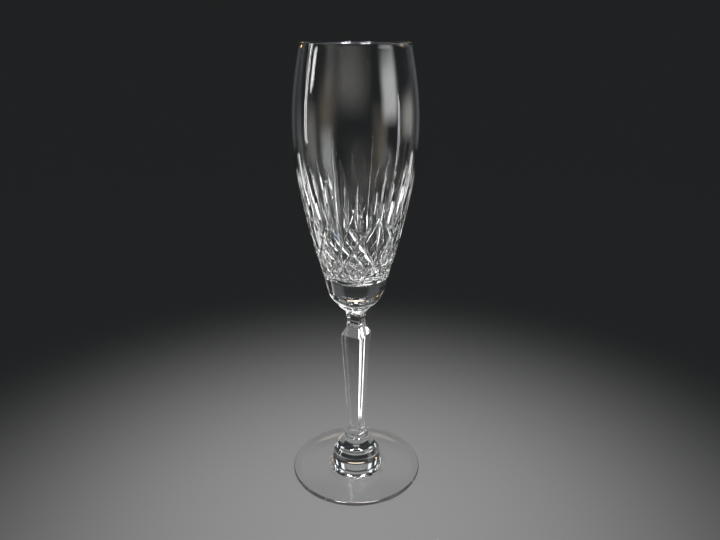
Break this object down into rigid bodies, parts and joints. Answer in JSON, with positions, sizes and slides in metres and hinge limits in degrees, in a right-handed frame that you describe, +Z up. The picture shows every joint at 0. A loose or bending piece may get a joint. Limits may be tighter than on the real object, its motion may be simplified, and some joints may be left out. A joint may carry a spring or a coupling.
{
  "type": "champagne flute",
  "caption": "Tall cut crystal champagne flute with a square tapering stem, a pyramid knop and a bell-shaped foot, for serving sparkling wine",
  "frame": {"origin": "on the surface it stands on, under the middle of the foot", "axes": "+Z up along the axis of the glass; X and Y square to the flat sides of the stem"},
  "size_m": [0.07, 0.07, 0.225],
  "materials": {
    "bowl_crystal": "clear polished crystal with polished cuts",
    "stem_crystal": "clear polished solid crystal",
    "collar_crystal": "clear polished solid crystal",
    "foot_crystal": "clear polished solid crystal"
  },
  "bodies": {
    "root": {"bowl": "bowl_crystal", "stem": "stem_crystal", "collar": "collar_crystal", "foot": "foot_crystal"}
  },
  "joints": []
}
